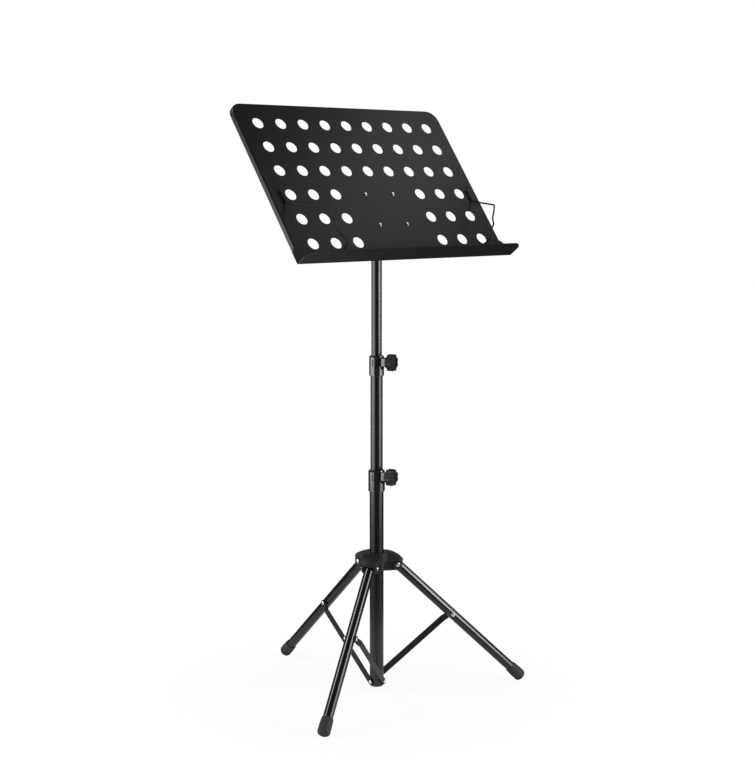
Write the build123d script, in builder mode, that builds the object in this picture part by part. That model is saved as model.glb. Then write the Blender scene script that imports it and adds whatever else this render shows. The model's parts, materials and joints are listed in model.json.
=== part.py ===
from build123d import *
from math import atan2, cos, hypot, radians, sin
import os

# Folding music stand: a perforated steel desk on a telescopic mast with a folding tripod.
# Millimetres, +Z up. The origin lies on the floor, on the mast's axis, and the desk faces -Y.

# Clearances
running_fit = 0.08  # radial, between a pin or shaft and the bore that it turns or slides in
snug_fit = 0.05  # radial, between pieces that are pushed together and stay put
moving_gap = 0.35  # between faces that pass each other

# Mast tubes, each one sliding in the next
post_radius = 12.7
tube_wall = 1.2
tube_gap = 0.4  # radial, between one tube and the next
post_floor_gap = 6.0
middle_tube_bottom = 195.0
upper_tube_bottom = 428.0
plug_flange = 2.5
plug_depth = 12.0
plug_chamfer = 1.25
slider_flange = 8.0
slider_depth = 20.0

# Collars at the top of the two outer tubes, with their clamp knobs
lower_collar_bottom = 369.5
lower_collar_height = 39.5
lower_knob_rise = 28.2  # from the bottom of the collar to the knob's axis
lower_knob_azimuth = -75.0
upper_collar_bottom = 580.0
upper_collar_height = 37.0
upper_knob_rise = 25.0
upper_knob_azimuth = -66.0
collar_wall = 2.35
collar_seat = 16.0  # depth of the tube in its collar
collar_chamfer = 1.2
collar_shoulder = 3.0
collar_slot_azimuth = 196.0
collar_slot_width = 2.0
collar_slot_length = 12.0
collar_slot_drop = 7.0  # from the top of the collar to the slot
boss_width = 13.0
boss_height = 17.0
boss_corner = 2.0
boss_reach = 5.8  # beyond the collar's wall
knob_radius = 15.4
knob_rim = 12.6
knob_neck_radius = 10.0  # where the cone behind the rim starts
knob_neck = 3.8
knob_shoulder = 2.2  # of the rim, outside the cone
knob_lobes = 8
knob_scallop_radius = 4.2
knob_scallop_depth = 2.1
knob_edge = 1.4
knob_dish_radius = 8.0
knob_dish_depth = 1.5
screw_radius = 3.0
screw_grip = 10.0  # length of the screw inside the knob
screw_tip_gap = 0.6

# Tripod in its open position
leg_count = 3
leg_names = ["back", "left", "right"]
first_leg_azimuth = 89.0
leg_slope = 43.7  # degrees below the horizontal
leg_radius = 9.0
leg_wall = 1.2
leg_end_radius = 10.0  # rounded top end, about the pivot
leg_pivot_radius = 36.5
leg_pivot_height = 234.73
foot_length = 31.0
foot_mouth_wall = 1.3
foot_bulge = 2.2  # radial, beyond the leg, at the fattest part
foot_bulge_back = 13.0  # from the end of the foot to its fattest part
foot_corner = 6.0
foot_end_wall = 3.0
foot_flat_depth = 0.6

# Hub that carries the legs and slides on the post
hub_cheek = 4.6
hub_core_wall = 5.5
hub_drop = 10.2  # underside below the leg pivot
hub_rise = 22.6  # top above the leg pivot
hub_rim_reach = 11.6  # outer rim of the cap beyond the leg pivot
hub_rim_rise = 8.9
hub_cap_edge = 2.6  # upright edge of the cap
hub_cap_overhang = 2.0  # of the cap, beyond the cheeks and the ends of the lobes
hub_cap_corner = 11.0
hub_cap_web = 22.0  # radius of the cap between the lobes
hub_cap_fillet = 7.0
hub_toe_reach = 3.0
hub_toe_height = 5.0
hub_lobe_corner = 3.0
hub_roof_flat = 2.0
hub_groove_width = 1.6
hub_groove_depth = 0.9
hub_groove_pitch = 4.6
hub_groove_count = 2
hub_first_groove = 22.0  # from the mast's axis

# Braces between the foot of the post and the legs
brace_width = 11.5
brace_thickness = 2.0
brace_pivot_height = 14.5
brace_reach = 145.8  # along the leg, from its pivot
brace_tip_flat = 10.0  # flat stretch below the pivot on the leg
brace_joggle_run = 9.0

# Rivets
leg_rivet_radius = 3.0
leg_rivet_head = 4.4
brace_rivet_radius = 2.0
brace_rivet_head = 3.6
desk_rivet_radius = 2.0
desk_rivet_head = 4.0
rivet_head_height = 1.8
rivet_crown = 1.4  # rounding of a rivet's head
rivet_plug_bite = 3.0  # length of a post rivet inside the plug

# Desk
desk_tilt = 36.0  # degrees back from the vertical
desk_width = 487.0
desk_height = 330.0
desk_sheet = 1.0
desk_flange = 10.0
desk_corner = 23.0
desk_bend = 2.0
skirt_width = 505.0  # unflanged band along the bottom, and the ledge
skirt_height = 32.0
skirt_corner = 8.0
ledge_depth = 39.0
ledge_corner = 20.0
hole_pitch = 50.0
hole_radius = 11.0
hole_columns = 9
hole_rows = 3  # in the upper block, and in each lower block
side_columns = 3
first_row_height = 38.0

# Tilt joint behind the desk
pivot_height = 859.0
pivot_depth = 31.7  # behind the face of the desk
pivot_rise = 105.5  # above the bottom of the desk, along it
tilt_barrel_radius = 12.0
tilt_barrel_half = 17.0
tilt_neck_height = 14.0  # from the top of the tube to the pivot
tilt_spigot = 25.0
bracket_sheet = 2.0
bracket_foot_width = 27.0
bracket_height = 94.0
bracket_corner = 5.0
ear_base = 70.0
ear_radius = 13.0
rivet_spacing_x = 65.0
rivet_spacing_up = 65.0
friction_washer = 1.0
friction_washer_radius = 11.0
bolt_radius = 4.0
bolt_head_radius = 8.5
bolt_head_height = 4.0
bolt_head_crown = 3.2
plain_washer = 1.6
plain_washer_radius = 9.0
tilt_knob_radius = 17.0
tilt_knob_hub_radius = 9.0
tilt_knob_hub = 6.0
tilt_knob_rim = 12.0
bolt_tail = 2.0  # left inside the knob's blind end

# Page holders: bent wires that swing about a line up the desk
wire_radius = 1.5
wire_bend = 3.0
wire_inset = 22.5  # hinge line of a page holder, in from the side of the desk
wire_axis_out = 2.0  # in front of the face of the desk
wire_hinge_top = 146.0
wire_hinge_bottom = 119.0
wire_stop = 9.0  # bent-over top end
wire_stop_angle = 72.0
clip_length = 12.0
clip_sheet = 0.8
clip_foot = 3.5
clip_rise = 133.5  # middle of the clip above the bottom of the desk

# Sizes that follow
post_bore = post_radius - tube_wall
middle_radius = post_bore - tube_gap
middle_bore = middle_radius - tube_wall
upper_radius = middle_bore - tube_gap
upper_bore = upper_radius - tube_wall
post_bottom = post_floor_gap + plug_flange
post_top = lower_collar_bottom + collar_seat
middle_tube_top = upper_collar_bottom + collar_seat
upper_tube_top = pivot_height - tilt_neck_height

slope = radians(leg_slope)
foot_radius = leg_radius + foot_bulge
foot_corner_drop = (foot_radius - foot_corner) * cos(slope) + foot_corner
foot_drop = leg_pivot_height + foot_flat_depth - foot_corner_drop
leg_length = foot_drop / sin(slope) + foot_corner
leg_tube_length = leg_length - foot_end_wall
hub_slot_half = leg_radius + moving_gap
hub_half_width = hub_slot_half + hub_cheek
hub_bottom = leg_pivot_height - hub_drop
hub_top = leg_pivot_height + hub_rise
hub_rim_radius = leg_pivot_radius + hub_rim_reach
hub_core_radius = post_radius + hub_core_wall
hub_lobe_radius = hub_rim_radius - hub_cap_overhang
hub_cap_bottom = leg_pivot_height + hub_rim_rise - hub_cap_edge

brace_top_radius = leg_pivot_radius + brace_reach * cos(slope)
brace_top_height = leg_pivot_height - brace_reach * sin(slope)
brace_length = hypot(brace_top_radius, brace_top_height - brace_pivot_height)
brace_slope = atan2(brace_top_height - brace_pivot_height, brace_top_radius)
brace_on_post = post_radius + moving_gap  # inner face beside the post
brace_on_leg = leg_radius + moving_gap  # inner face beside the leg

ear_inner = tilt_barrel_half + moving_gap + friction_washer
ear_outer = ear_inner + bracket_sheet
tilt_knob_start = ear_outer + plain_washer + moving_gap
tilt_knob_end = tilt_knob_start + tilt_knob_hub + tilt_knob_rim

wire_axis_x = desk_width / 2 - wire_inset

leg_azimuths = [first_leg_azimuth + index * 360 / leg_count for index in range(leg_count)]
upward = Vector(0, 0, 1)
tilt = radians(desk_tilt)
desk_up = Vector(0, sin(tilt), cos(tilt))
desk_front = Vector(0, -cos(tilt), sin(tilt))
tilt_pivot = Vector(0, 0, pivot_height)
desk_origin = tilt_pivot + desk_front * pivot_depth - desk_up * pivot_rise
desk_plane = Plane(origin=desk_origin, x_dir=(1, 0, 0), z_dir=desk_front)

os.makedirs("parts", exist_ok=True)


def save(part, name):
    """Label a finished piece and write it under its own name."""
    part.label = name
    export_step(part, f"parts/{name}.step")


def bearing(azimuth):
    """Level direction at an azimuth counted from +X."""
    return Vector(cos(radians(azimuth)), sin(radians(azimuth)), 0)


def radial_plane(azimuth):
    """Upright plane through the mast's axis: local X runs outward, local Y up."""
    outward = bearing(azimuth)
    return Plane(origin=(0, 0, 0), x_dir=outward, z_dir=outward.cross(upward))


def leg_side(azimuth):
    """Plane through a leg's axis: local X runs down the leg from its pivot."""
    radial = radial_plane(azimuth)
    pivot = radial.from_local_coords((leg_pivot_radius, leg_pivot_height, 0))
    down_leg = radial.x_dir * cos(slope) - upward * sin(slope)
    return Plane(origin=pivot, x_dir=down_leg, z_dir=radial.z_dir)


def brace_side(azimuth):
    """Plane through a brace's two pivots: local X runs up the brace from the post."""
    radial = radial_plane(azimuth)
    pivot = radial.from_local_coords((0, brace_pivot_height, 0))
    up_brace = radial.x_dir * cos(brace_slope) + upward * sin(brace_slope)
    return Plane(origin=pivot, x_dir=up_brace, z_dir=radial.z_dir)


def knob_plane(height, azimuth):
    """Plane on the mast's axis whose normal is a knob's axis."""
    return Plane(origin=(0, 0, height), x_dir=upward, z_dir=bearing(azimuth))


def tube(radius, bottom, top):
    """Round tube standing on the mast's axis."""
    with BuildPart() as pipe:
        with BuildSketch(Plane.XY.offset(bottom)):
            Circle(radius)
            Circle(radius - tube_wall, mode=Mode.SUBTRACT)
        extrude(amount=top - bottom)
    return pipe.part


def rivet(seat, shank_radius, head_radius, grip, far_head=True):
    """Rivet with a domed head on the seat plane and a grip that runs back from it."""
    with BuildPart() as pin:
        with BuildSketch(seat):
            Circle(head_radius)
        extrude(amount=rivet_head_height)
        crown = pin.edges().sort_by(Axis(seat.origin, seat.z_dir))[-1]
        fillet(crown, radius=rivet_crown)
        with BuildSketch(seat):
            Circle(shank_radius)
        extrude(amount=-grip)
        if far_head:
            with BuildSketch(seat.offset(-grip)):
                Circle(head_radius)
            extrude(amount=-rivet_head_height)
            crown = pin.edges().sort_by(Axis(seat.origin, seat.z_dir))[0]
            fillet(crown, radius=rivet_crown)
    return pin.part


def collar(tube_radius, inner_radius, bottom, height, knob_rise, knob_azimuth):
    """Clamp collar: a socket for its own tube, a bore for the sliding one and a screw boss."""
    outer_radius = tube_radius + collar_wall
    screw_axis = knob_plane(bottom + knob_rise, knob_azimuth)
    slot_height = bottom + height - collar_slot_drop - collar_slot_length / 2
    with BuildPart() as ring:
        with BuildSketch(Plane.XY.offset(bottom)):
            Circle(outer_radius)
        extrude(amount=height)
        chamfer(ring.edges().sort_by(Axis.Z)[0], length=collar_chamfer)
        chamfer(ring.edges().sort_by(Axis.Z)[-1], length=collar_shoulder, length2=collar_chamfer)
        with BuildSketch(screw_axis):
            RectangleRounded(boss_height, boss_width, boss_corner)
        extrude(amount=outer_radius + boss_reach)
        with BuildSketch(Plane.XY.offset(bottom)):
            Circle(tube_radius + snug_fit)
        extrude(amount=collar_seat, mode=Mode.SUBTRACT)
        with BuildSketch(Plane.XY.offset(bottom)):
            Circle(inner_radius + tube_gap)
        extrude(amount=height, mode=Mode.SUBTRACT)
        with BuildSketch(screw_axis):
            Circle(screw_radius + running_fit)
        extrude(amount=outer_radius + boss_reach, mode=Mode.SUBTRACT)
        with BuildSketch(radial_plane(collar_slot_azimuth)):
            with Locations((outer_radius, slot_height)):
                Rectangle(2 * (outer_radius - inner_radius), collar_slot_length)
        extrude(amount=collar_slot_width / 2, both=True, mode=Mode.SUBTRACT)
    return ring.part


def lobed_knob(base, neck_radius, neck, radius, rim, socket_radius, socket_depth):
    """Scalloped hand knob on the base plane: a cone first, then the rim, with a socket in its back."""
    with BuildPart() as knob:
        with BuildSketch(base):
            Circle(neck_radius)
        with BuildSketch(base.offset(neck)):
            Circle(radius - knob_shoulder)
        loft()
        with BuildSketch(base.offset(neck)) as rim_outline:
            Circle(radius)
            with PolarLocations(radius + knob_scallop_radius - knob_scallop_depth, knob_lobes):
                Circle(knob_scallop_radius, mode=Mode.SUBTRACT)
            fillet(rim_outline.vertices(), radius=knob_edge)
        extrude(amount=rim)
        along = Axis(base.origin, base.z_dir)
        front = knob.faces().sort_by(along)[-1]
        fillet(front.outer_wire().edges(), radius=knob_edge)
        with BuildSketch(base.offset(neck + rim)):
            Circle(knob_dish_radius)
        extrude(amount=-knob_dish_depth, mode=Mode.SUBTRACT)
        with BuildSketch(base):
            Circle(socket_radius)
        extrude(amount=socket_depth, mode=Mode.SUBTRACT)
    return knob.part


def save_clamp(prefix, tube_radius, inner_radius, bottom, height, knob_rise, knob_azimuth):
    """Collar, hand knob and clamp screw of one mast joint."""
    save(collar(tube_radius, inner_radius, bottom, height, knob_rise, knob_azimuth), f"{prefix}_collar")
    axis_plane = knob_plane(bottom + knob_rise, knob_azimuth)
    knob_back = tube_radius + collar_wall + boss_reach + moving_gap
    base = axis_plane.offset(knob_back)
    grip = lobed_knob(
        base, knob_neck_radius, knob_neck, knob_radius, knob_rim, screw_radius + snug_fit, screw_grip
    )
    save(grip, f"{prefix}_knob")
    with BuildPart() as screw:
        with BuildSketch(axis_plane.offset(inner_radius + screw_tip_gap)):
            Circle(screw_radius)
        extrude(amount=knob_back + screw_grip - inner_radius - screw_tip_gap)
    save(screw.part, f"{prefix}_screw")


def end_slider(bore_radius, tube_bore, tube_bottom):
    """Plug that guides a tube's lower end in the tube around it, and on which the tube turns."""
    with BuildPart() as plug:
        with BuildSketch(Plane.XY.offset(tube_bottom - moving_gap)):
            Circle(bore_radius - running_fit)
        extrude(amount=-slider_flange)
        with BuildSketch(Plane.XY.offset(tube_bottom - moving_gap)):
            Circle(tube_bore - running_fit)
        extrude(amount=slider_depth)
    return plug.part


# Lower tube, its end plug and the rivets of the three braces
brace_rivet_azimuths = [azimuth + 90 for azimuth in leg_azimuths]
brace_rivet_grip = brace_thickness + moving_gap + tube_wall + rivet_plug_bite

with BuildPart() as lower_tube:
    with BuildSketch(Plane.XY.offset(post_bottom)):
        Circle(post_radius)
        Circle(post_bore, mode=Mode.SUBTRACT)
    extrude(amount=post_top - post_bottom)
    for azimuth in brace_rivet_azimuths:
        with BuildSketch(knob_plane(brace_pivot_height, azimuth)):
            Circle(brace_rivet_radius + snug_fit)
        extrude(amount=2 * post_radius, mode=Mode.SUBTRACT)
save(lower_tube.part, "lower_tube")

with BuildPart() as post_plug:
    with BuildSketch(Plane.XY.offset(post_floor_gap)):
        Circle(post_radius)
    extrude(amount=plug_flange)
    chamfer(post_plug.edges().sort_by(Axis.Z)[0], length=plug_chamfer)
    with BuildSketch(Plane.XY.offset(post_bottom)):
        Circle(post_bore - snug_fit)
    extrude(amount=plug_depth)
    for azimuth in brace_rivet_azimuths:
        with BuildSketch(knob_plane(brace_pivot_height, azimuth).offset(post_bore - rivet_plug_bite)):
            Circle(brace_rivet_radius + snug_fit)
        extrude(amount=2 * rivet_plug_bite, mode=Mode.SUBTRACT)
save(post_plug.part, "post_plug")

post_rivets = [
    rivet(
        knob_plane(brace_pivot_height, azimuth).offset(brace_on_post + brace_thickness + snug_fit),
        brace_rivet_radius,
        brace_rivet_head,
        brace_rivet_grip,
        far_head=False,
    )
    for azimuth in brace_rivet_azimuths
]
save(Compound(children=post_rivets), "post_rivets")

# Hub: a domed cap over three slotted lobes
with BuildPart() as hub:
    with BuildSketch(Plane.XY.offset(hub_bottom)) as lobe_plan:
        with PolarLocations(hub_lobe_radius / 2, leg_count, start_angle=first_leg_azimuth):
            Rectangle(hub_lobe_radius, 2 * hub_half_width)
        outer_corners = lobe_plan.vertices().sort_by(SortBy.DISTANCE)[-2 * leg_count :]
        fillet(outer_corners, radius=hub_lobe_corner)
        Circle(hub_core_radius)
    extrude(amount=hub_top - hub_bottom)
    with BuildSketch(Plane.XY.offset(hub_cap_bottom)) as cap_plan:
        with PolarLocations(hub_rim_radius / 2, leg_count, start_angle=first_leg_azimuth):
            Rectangle(hub_rim_radius, 2 * (hub_half_width + hub_cap_overhang))
        outer_corners = cap_plan.vertices().sort_by(SortBy.DISTANCE)[-2 * leg_count :]
        fillet(outer_corners, radius=hub_cap_corner)
        Circle(hub_cap_web)
        inner_corners = cap_plan.vertices().group_by(SortBy.DISTANCE)[0]
        fillet(inner_corners, radius=hub_cap_fillet)
    extrude(amount=hub_top - hub_cap_bottom)
    with BuildSketch(Plane.XZ):
        with BuildLine():
            roof_inner = (hub_core_radius + hub_roof_flat, hub_top)
            rim = (hub_rim_radius, leg_pivot_height + hub_rim_rise)
            rim_bottom = (hub_rim_radius, hub_cap_bottom)
            toe = (hub_lobe_radius, hub_bottom + hub_toe_height)
            toe_inner = (leg_pivot_radius + hub_toe_reach, hub_bottom)
            roof = TangentArc(roof_inner, rim, tangent=(1, 0))
            Polyline(rim, rim_bottom, toe, toe_inner, (0, hub_bottom), (0, hub_top), roof_inner)
        make_face()
    revolve(axis=Axis.Z, mode=Mode.INTERSECT)
    for azimuth in leg_azimuths:
        for groove in range(hub_groove_count):
            radius = hub_first_groove + groove * hub_groove_pitch
            for hand in (-1, 1):
                with BuildSketch(radial_plane(azimuth).offset(hand * hub_half_width)):
                    with Locations((radius, (hub_bottom + hub_cap_bottom) / 2)):
                        Rectangle(hub_groove_width, hub_cap_bottom - hub_bottom)
                extrude(amount=-hand * hub_groove_depth, mode=Mode.SUBTRACT)
    with BuildSketch(Plane.XY.offset(hub_bottom)):
        Circle(post_radius + moving_gap)
    extrude(amount=hub_top - hub_bottom, mode=Mode.SUBTRACT)
    for azimuth in leg_azimuths:
        slot_radius = leg_end_radius + moving_gap
        slot_out = leg_radius + moving_gap
        slot_top = (leg_pivot_radius + slot_out * sin(slope), leg_pivot_height + slot_out * cos(slope))
        slot_run = hub_rim_radius
        slot_far = (slot_top[0] + slot_run * cos(slope), slot_top[1] - slot_run * sin(slope))
        slot_back = leg_pivot_radius - slot_radius
        with BuildSketch(radial_plane(azimuth)):
            with Locations((leg_pivot_radius, leg_pivot_height)):
                Circle(slot_radius)
            with BuildLine():
                Polyline(
                    slot_top,
                    slot_far,
                    (slot_back, slot_far[1]),
                    (slot_back, leg_pivot_height),
                    close=True,
                )
            make_face()
        extrude(amount=hub_slot_half, both=True, mode=Mode.SUBTRACT)
        with BuildSketch(leg_side(azimuth)):
            Circle(leg_rivet_radius + snug_fit)
        extrude(amount=hub_half_width, both=True, mode=Mode.SUBTRACT)
save(hub.part, "hub")

hub_rivets = [
    rivet(leg_side(azimuth).offset(hub_half_width), leg_rivet_radius, leg_rivet_head, 2 * hub_half_width)
    for azimuth in leg_azimuths
]
save(Compound(children=hub_rivets), "hub_rivets")

# Legs with their feet, braces and the rivets that tie them
for name, azimuth in zip(leg_names, leg_azimuths):
    side = leg_side(azimuth)
    across = Plane(origin=side.origin, x_dir=side.z_dir, z_dir=side.x_dir)
    with BuildPart() as leg:
        with BuildSketch(across.offset(-leg_end_radius)):
            Circle(leg_radius)
            Circle(leg_radius - leg_wall, mode=Mode.SUBTRACT)
        extrude(amount=leg_end_radius + leg_tube_length)
        with BuildSketch(side):
            with Locations((-leg_end_radius, 0)):
                Rectangle(2 * leg_end_radius, 2 * leg_end_radius)
            Circle(leg_end_radius, mode=Mode.SUBTRACT)
        extrude(amount=2 * leg_radius, both=True, mode=Mode.SUBTRACT)
        with BuildSketch(side):
            Circle(leg_rivet_radius + running_fit)
            with Locations((brace_reach, 0)):
                Circle(brace_rivet_radius + snug_fit)
        extrude(amount=2 * leg_radius, both=True, mode=Mode.SUBTRACT)
    save(leg.part, f"leg_{name}")

    with BuildPart() as foot:
        with BuildSketch(side):
            with BuildLine():
                mouth = (leg_length - foot_length, leg_radius + foot_mouth_wall)
                fattest = (leg_length - foot_bulge_back, foot_radius)
                corner_start = (leg_length - foot_corner, foot_radius)
                corner_end = (leg_length, foot_radius - foot_corner)
                bore_mouth = (leg_length - foot_length, leg_radius + snug_fit)
                bore_end = (leg_tube_length, leg_radius + snug_fit)
                TangentArc(fattest, mouth, tangent=(-1, 0))
                Line(fattest, corner_start)
                RadiusArc(corner_start, corner_end, foot_corner)
                Polyline(corner_end, (leg_length, 0), (leg_tube_length, 0), bore_end, bore_mouth, mouth)
            make_face()
        revolve(axis=Axis(side.origin, side.x_dir))
        split(bisect_by=Plane.XY, keep=Keep.TOP)
    save(foot.part, f"foot_{name}")

    tie = Plane(origin=side.from_local_coords((brace_reach, 0, 0)), x_dir=side.x_dir, z_dir=side.z_dir)
    leg_rivet = rivet(
        tie.offset(leg_radius), brace_rivet_radius, brace_rivet_head, 2 * leg_radius, far_head=False
    )
    save(leg_rivet, f"leg_rivet_{name}")

    strip = brace_side(azimuth)
    edge_on = Plane(origin=strip.origin, x_dir=strip.x_dir, z_dir=-strip.y_dir)
    brace_reach_out = brace_on_post + brace_thickness
    with BuildPart() as brace:
        with BuildSketch(strip):
            with Locations((brace_length / 2, 0)):
                SlotCenterToCenter(brace_length, brace_width)
        extrude(amount=-2 * brace_reach_out)
        with BuildSketch(edge_on):
            with BuildLine():
                joggle_end = brace_length - brace_tip_flat
                joggle_start = joggle_end - brace_joggle_run
                tail = -brace_width
                tip = brace_length + brace_width
                Polyline(
                    (tail, -brace_on_post),
                    (joggle_start, -brace_on_post),
                    (joggle_end, -brace_on_leg),
                    (tip, -brace_on_leg),
                    (tip, -brace_on_leg - brace_thickness),
                    (joggle_end, -brace_on_leg - brace_thickness),
                    (joggle_start, -brace_on_post - brace_thickness),
                    (tail, -brace_on_post - brace_thickness),
                    close=True,
                )
            make_face()
        extrude(amount=brace_width, both=True, mode=Mode.INTERSECT)
        with BuildSketch(strip):
            Circle(brace_rivet_radius + running_fit)
            with Locations((brace_length, 0)):
                Circle(brace_rivet_radius + snug_fit)
        extrude(amount=-2 * brace_reach_out, mode=Mode.SUBTRACT)
    save(brace.part, f"brace_{name}")

    tip_seat = Plane(
        origin=strip.from_local_coords((brace_length, 0, -brace_on_leg - brace_thickness)),
        x_dir=strip.x_dir,
        z_dir=-strip.z_dir,
    )
    brace_rivet = rivet(tip_seat, brace_rivet_radius, brace_rivet_head, brace_thickness, far_head=False)
    save(brace_rivet, f"brace_rivet_{name}")

# Telescopic mast with its two clamps
save_clamp(
    "lower",
    post_radius,
    middle_radius,
    lower_collar_bottom,
    lower_collar_height,
    lower_knob_rise,
    lower_knob_azimuth,
)
save(end_slider(post_bore, middle_bore, middle_tube_bottom), "middle_slider")
save(tube(middle_radius, middle_tube_bottom, middle_tube_top), "middle_tube")
save_clamp(
    "upper",
    middle_radius,
    upper_radius,
    upper_collar_bottom,
    upper_collar_height,
    upper_knob_rise,
    upper_knob_azimuth,
)
save(end_slider(middle_bore, upper_bore, upper_tube_bottom), "upper_slider")
save(tube(upper_radius, upper_tube_bottom, upper_tube_top), "upper_tube")

# Tilt joint: barrel on the mast, ears on the desk, and the bolt that clamps them
pivot_plane = Plane(origin=tilt_pivot, x_dir=(0, 1, 0), z_dir=(1, 0, 0))

with BuildPart() as tilt_head:
    with BuildSketch(pivot_plane):
        Circle(tilt_barrel_radius)
    extrude(amount=tilt_barrel_half, both=True)
    with BuildSketch(Plane.XY.offset(upper_tube_top)):
        Circle(upper_radius)
    extrude(amount=tilt_neck_height)
    with BuildSketch(Plane.XY.offset(upper_tube_top)):
        Circle(upper_bore - snug_fit)
    extrude(amount=-tilt_spigot)
    with BuildSketch(pivot_plane):
        Circle(bolt_radius + running_fit)
    extrude(amount=tilt_barrel_half, both=True, mode=Mode.SUBTRACT)
save(tilt_head.part, "tilt_head")

for name, hand in (("left", -1), ("right", 1)):
    ear_plane = Plane(
        origin=desk_plane.from_local_coords((hand * ear_inner, 0, 0)), x_dir=desk_up, z_dir=(hand, 0, 0)
    )
    with BuildPart() as tilt_bracket:
        with BuildSketch(desk_plane.offset(-desk_sheet)):
            with Locations((hand * (ear_inner + bracket_foot_width / 2), pivot_rise)):
                RectangleRounded(bracket_foot_width, bracket_height, bracket_corner)
        extrude(amount=-bracket_sheet)
        with BuildSketch(ear_plane):
            with Locations((pivot_rise, hand * -pivot_depth)):
                Circle(ear_radius)
            with Locations((pivot_rise, hand * -(desk_sheet + bracket_sheet / 2))):
                Rectangle(ear_base, bracket_sheet)
            make_hull()
        extrude(amount=bracket_sheet)
        with BuildSketch(ear_plane):
            with Locations((pivot_rise, hand * -pivot_depth)):
                Circle(bolt_radius + snug_fit)
        extrude(amount=bracket_sheet, mode=Mode.SUBTRACT)
        with BuildSketch(desk_plane):
            with Locations((0, pivot_rise)):
                with GridLocations(rivet_spacing_x, rivet_spacing_up, 2, 2):
                    Circle(desk_rivet_radius + snug_fit)
        extrude(amount=-2 * (desk_sheet + bracket_sheet), mode=Mode.SUBTRACT)
    save(tilt_bracket.part, f"tilt_bracket_{name}")

with BuildPart() as friction_washers:
    for hand in (-1, 1):
        with BuildSketch(pivot_plane.offset(hand * ear_inner)):
            Circle(friction_washer_radius)
            Circle(bolt_radius + snug_fit, mode=Mode.SUBTRACT)
        extrude(amount=-hand * friction_washer)
save(friction_washers.part, "friction_washers")

with BuildPart() as tilt_bolt:
    with BuildSketch(pivot_plane.offset(-ear_outer)):
        Circle(bolt_head_radius)
    extrude(amount=-bolt_head_height)
    fillet(tilt_bolt.edges().sort_by(Axis.X)[0], radius=bolt_head_crown)
    with BuildSketch(pivot_plane.offset(-ear_outer)):
        Circle(bolt_radius)
    extrude(amount=ear_outer + tilt_knob_end - bolt_tail - knob_dish_depth)
save(tilt_bolt.part, "tilt_bolt")

with BuildPart() as tilt_washer:
    with BuildSketch(pivot_plane.offset(ear_outer)):
        Circle(plain_washer_radius)
        Circle(bolt_radius + snug_fit, mode=Mode.SUBTRACT)
    extrude(amount=plain_washer)
save(tilt_washer.part, "tilt_washer")

tilt_knob = lobed_knob(
    pivot_plane.offset(tilt_knob_start),
    tilt_knob_hub_radius,
    tilt_knob_hub,
    tilt_knob_radius,
    tilt_knob_rim,
    bolt_radius + running_fit,
    tilt_knob_hub + tilt_knob_rim - knob_dish_depth,
)
save(tilt_knob, "tilt_knob")

# Desk: a perforated sheet with turned-back edges and a ledge
upper_block_height = first_row_height + (2 * hole_rows - 1 - (hole_rows - 1) / 2) * hole_pitch
lower_block_height = first_row_height + (hole_rows - 1) / 2 * hole_pitch
side_block_x = (hole_columns - side_columns) / 2 * hole_pitch

with BuildPart() as desk:
    flanged_height = desk_height - skirt_height
    with BuildSketch(desk_plane) as panel:
        with Locations((0, skirt_height + flanged_height / 2)):
            Rectangle(desk_width, flanged_height)
        fillet(panel.vertices().group_by(Axis.Y)[-1], radius=desk_corner)
    extrude(amount=-desk_flange)
    front_face = desk.faces().sort_by(Axis(desk_origin, desk_front))[-1]
    rolled_edges = front_face.edges().sort_by(Axis.Z)[1:]
    fillet(rolled_edges, radius=desk_bend)
    with BuildSketch(desk_plane.offset(-desk_sheet)) as hollow:
        with Locations((0, skirt_height + (flanged_height - desk_sheet) / 2)):
            Rectangle(desk_width - 2 * desk_sheet, flanged_height - desk_sheet)
        fillet(hollow.vertices().group_by(Axis.Y)[-1], radius=desk_corner - desk_sheet)
    extrude(amount=-desk_flange, mode=Mode.SUBTRACT)
    with BuildSketch(desk_plane) as skirt:
        with Locations((0, (skirt_height - desk_sheet) / 2)):
            Rectangle(skirt_width, skirt_height + desk_sheet)
        chamfer(skirt.vertices().group_by(Axis.Y)[-1], length=skirt_corner)
    extrude(amount=-desk_sheet)
    ledge_plane = Plane(origin=desk_origin, x_dir=(1, 0, 0), z_dir=-desk_up)
    with BuildSketch(ledge_plane) as ledge:
        with Locations((0, (ledge_depth - desk_sheet) / 2)):
            Rectangle(skirt_width, ledge_depth + desk_sheet)
        fillet(ledge.vertices().group_by(Axis.Y)[-1], radius=ledge_corner)
    extrude(amount=desk_sheet)
    long_edges = desk.edges().filter_by(Axis.X)
    inner_bend = long_edges.sort_by_distance(desk_origin)[0]
    outer_bend = long_edges.sort_by_distance(desk_plane.from_local_coords((0, -desk_sheet, -desk_sheet)))[0]
    fillet(inner_bend, radius=desk_bend - desk_sheet)
    fillet(outer_bend, radius=desk_bend)
    with BuildSketch(desk_plane):
        with Locations((0, upper_block_height)):
            with GridLocations(hole_pitch, hole_pitch, hole_columns, hole_rows):
                Circle(hole_radius)
        for hand in (-1, 1):
            with Locations((hand * side_block_x, lower_block_height)):
                with GridLocations(hole_pitch, hole_pitch, side_columns, hole_rows):
                    Circle(hole_radius)
        with Locations((0, pivot_rise)):
            with GridLocations(rivet_spacing_x, rivet_spacing_up, 2, 2):
                Circle(desk_rivet_radius + snug_fit)
    extrude(amount=-2 * desk_sheet, mode=Mode.SUBTRACT)
save(desk.part, "desk")

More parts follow.
